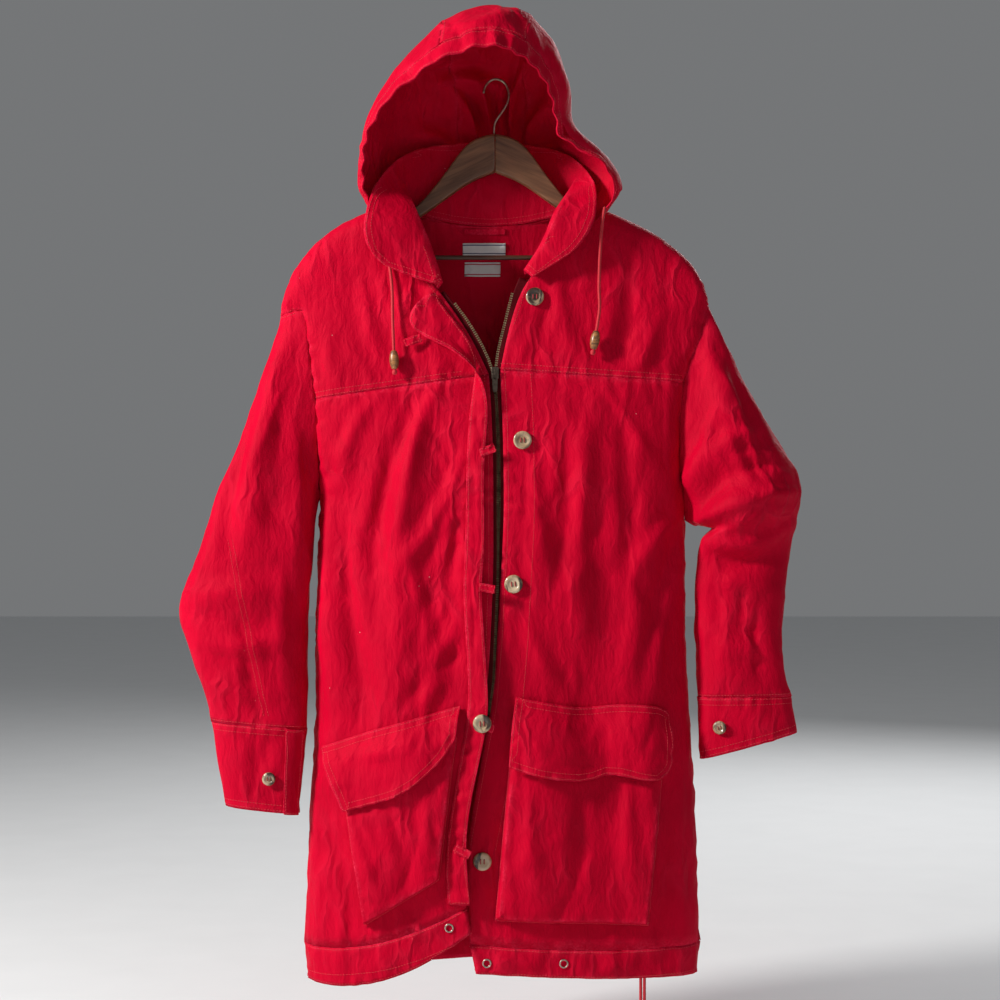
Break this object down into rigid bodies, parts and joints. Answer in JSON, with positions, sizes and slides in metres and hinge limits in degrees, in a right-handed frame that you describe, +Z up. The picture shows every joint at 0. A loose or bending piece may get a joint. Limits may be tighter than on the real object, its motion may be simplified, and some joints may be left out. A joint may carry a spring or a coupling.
{
  "type": "hooded anorak on wooden hanger",
  "caption": "Hooded anorak with zip, buttoned storm flap and bellows pockets, hanging open at the neck on a wooden coat hanger.",
  "frame": {"origin": "inside top of the hanger's hook, where it hangs", "axes": "+Z up, the coat's front towards -Y, its back towards +Y, the picture's right is +X"},
  "size_m": [0.7067, 0.1756, 1.1585],
  "materials": {
    "back": "lined cotton canvas, matte",
    "button_1": "horn-like, polished",
    "button_2": "horn-like, polished",
    "button_3": "horn-like, polished",
    "button_4": "horn-like, polished",
    "button_5": "horn-like, polished",
    "button_tab_1": "lined cotton canvas, matte",
    "button_tab_2": "lined cotton canvas, matte",
    "button_tab_3": "lined cotton canvas, matte",
    "button_tab_4": "lined cotton canvas, matte",
    "button_tab_5": "lined cotton canvas, matte",
    "collar": "lined cotton canvas, matte",
    "cuff_button_left": "horn-like, polished",
    "cuff_button_right": "horn-like, polished",
    "cuff_left": "lined cotton canvas, matte",
    "cuff_placket_left": "lined cotton canvas, matte",
    "cuff_right": "lined cotton canvas, matte",
    "front_left": "lined cotton canvas, matte",
    "front_right": "lined cotton canvas, matte",
    "front_yoke_left": "lined cotton canvas, matte",
    "front_yoke_right": "lined cotton canvas, matte",
    "hanger_left": "dark varnish",
    "hanger_right": "dark varnish",
    "hanging_loop": "woven tape",
    "hem_back": "lined cotton canvas, matte",
    "hem_cord_1": "braided cord",
    "hem_cord_2": "braided cord",
    "hem_cord_knot": "braided cord",
    "hem_eyelet_1": "dulled plating",
    "hem_eyelet_2": "dulled plating",
    "hem_eyelet_3": "dulled plating",
    "hem_left": "lined cotton canvas, matte",
    "hem_right": "lined cotton canvas, matte",
    "hood_casing": "lined cotton canvas, matte",
    "hood_centre": "lined cotton canvas, matte",
    "hood_cord_knot_left": "braided cord",
    "hood_cord_knot_right": "braided cord",
    "hood_cord_left": "braided cord",
    "hood_cord_right": "braided cord",
    "hood_side_left": "lined cotton canvas, matte",
    "hood_side_right": "lined cotton canvas, matte",
    "hook": "dulled plating",
    "label_lower": "blank woven label",
    "label_upper": "blank woven label",
    "pocket_flap_left": "lined cotton canvas, matte",
    "pocket_flap_right": "lined cotton canvas, matte",
    "pocket_left": "lined cotton canvas, matte",
    "pocket_right": "lined cotton canvas, matte",
    "sleeve_left": "lined cotton canvas, matte",
    "sleeve_right": "lined cotton canvas, matte",
    "storm_flap": "lined cotton canvas, matte",
    "toggle_left": "varnished",
    "toggle_right": "varnished",
    "trouser_bar": "dark varnish",
    "zip_pull_tab": "dark plating",
    "zip_slider": "dark plating",
    "zip_tape_left": "woven tape",
    "zip_tape_right": "woven tape"
  },
  "bodies": {
    "root": {"back": "back", "button_1": "button_1", "button_2": "button_2", "button_3": "button_3", "button_4": "button_4", "button_5": "button_5", "button_tab_1": "button_tab_1", "button_tab_2": "button_tab_2", "button_tab_3": "button_tab_3", "button_tab_4": "button_tab_4", "button_tab_5": "button_tab_5", "collar": "collar", "cuff_button_left": "cuff_button_left", "cuff_button_right": "cuff_button_right", "cuff_left": "cuff_left", "cuff_placket_left": "cuff_placket_left", "cuff_right": "cuff_right", "front_left": "front_left", "front_right": "front_right", "front_yoke_left": "front_yoke_left", "front_yoke_right": "front_yoke_right", "hanger_left": "hanger_left", "hanger_right": "hanger_right", "hanging_loop": "hanging_loop", "hem_back": "hem_back", "hem_cord_1": "hem_cord_1", "hem_cord_2": "hem_cord_2", "hem_cord_knot": "hem_cord_knot", "hem_eyelet_1": "hem_eyelet_1", "hem_eyelet_2": "hem_eyelet_2", "hem_eyelet_3": "hem_eyelet_3", "hem_left": "hem_left", "hem_right": "hem_right", "hood_casing": "hood_casing", "hood_centre": "hood_centre", "hood_cord_knot_left": "hood_cord_knot_left", "hood_cord_knot_right": "hood_cord_knot_right", "hood_cord_left": "hood_cord_left", "hood_cord_right": "hood_cord_right", "hood_side_left": "hood_side_left", "hood_side_right": "hood_side_right", "hook": "hook", "label_lower": "label_lower", "label_upper": "label_upper", "pocket_flap_left": "pocket_flap_left", "pocket_flap_right": "pocket_flap_right", "pocket_left": "pocket_left", "pocket_right": "pocket_right", "sleeve_left": "sleeve_left", "sleeve_right": "sleeve_right", "storm_flap": "storm_flap", "toggle_left": "toggle_left", "toggle_right": "toggle_right", "trouser_bar": "trouser_bar", "zip_slider": "zip_slider", "zip_tape_left": "zip_tape_left", "zip_tape_right": "zip_tape_right"},
    "pull_tab": {"zip_pull_tab": "zip_pull_tab"}
  },
  "joints": [
    {"name": "pull_tab_hinge", "type": "hinge", "parent": "root", "child": "pull_tab", "pos_m": [0, -0.0434, -0.3386], "axis": [-1, 0, 0], "range_deg": [0, 130]}
  ]
}
